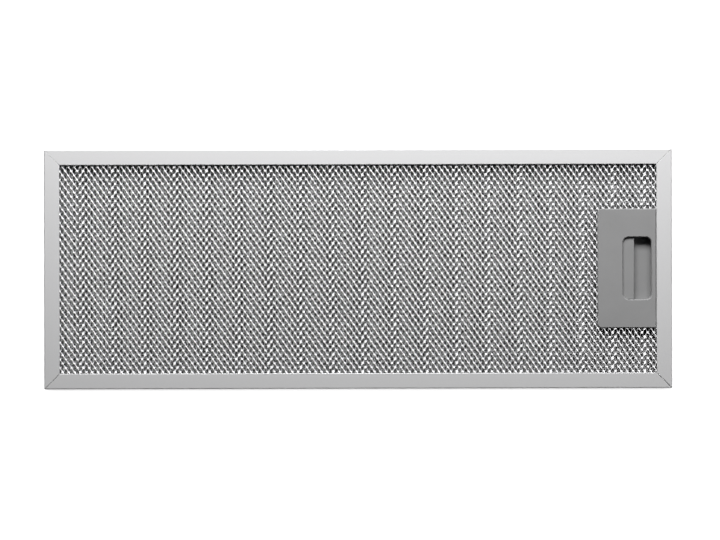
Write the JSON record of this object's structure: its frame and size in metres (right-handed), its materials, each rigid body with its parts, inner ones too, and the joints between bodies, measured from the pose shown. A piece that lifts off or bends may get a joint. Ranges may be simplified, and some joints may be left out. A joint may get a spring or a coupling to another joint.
{
  "type": "cooker hood grease filter",
  "caption": "Flat rectangular cooker hood grease filter: mitred aluminium frame, layered expanded mesh, and a sprung finger latch recessed at one short end.",
  "frame": {"origin": "centre of the filter's back plane, which is the bottom centre of its box when it lies on its back", "axes": "+X along the length towards the latch end, +Y across the width, +Z out of the front face that shows the finger pocket"},
  "size_m": [0.5, 0.191, 0.009],
  "materials": {
    "rail_aluminium": "satin rolled strip",
    "key_aluminium": "mill finish",
    "mesh_aluminium": "bright cut edges, expanded from foil",
    "latch_plastic": "fine matte mould texture",
    "slide_plastic": "fine matte mould texture",
    "spring_steel": "drawn wire",
    "screw_steel": "zinc plated"
  },
  "bodies": {
    "frame": {"top_rail": "rail_aluminium", "bottom_rail": "rail_aluminium", "left_rail": "rail_aluminium", "right_rail": "rail_aluminium", "corner_key_top_left": "key_aluminium", "corner_key_top_right": "key_aluminium", "corner_key_bottom_left": "key_aluminium", "corner_key_bottom_right": "key_aluminium", "front_mesh": "mesh_aluminium", "upper_wave_mesh": "mesh_aluminium", "lower_wave_mesh": "mesh_aluminium", "inner_mesh": "mesh_aluminium", "back_mesh": "mesh_aluminium", "latch_housing": "latch_plastic", "latch_spring_top": "spring_steel", "latch_spring_bottom": "spring_steel", "latch_cover": "latch_plastic", "cover_screws": "screw_steel"},
    "slide": {"latch_slide": "slide_plastic"}
  },
  "joints": [
    {"name": "latch_pull", "type": "slide", "parent": "frame", "child": "slide", "axis": [-1, 0, 0], "range_m": [0, 0.005], "stiffness_N_per_m": 455, "springref_m": -0.0046, "deforming": ["latch_spring_top", "latch_spring_bottom"]}
  ]
}
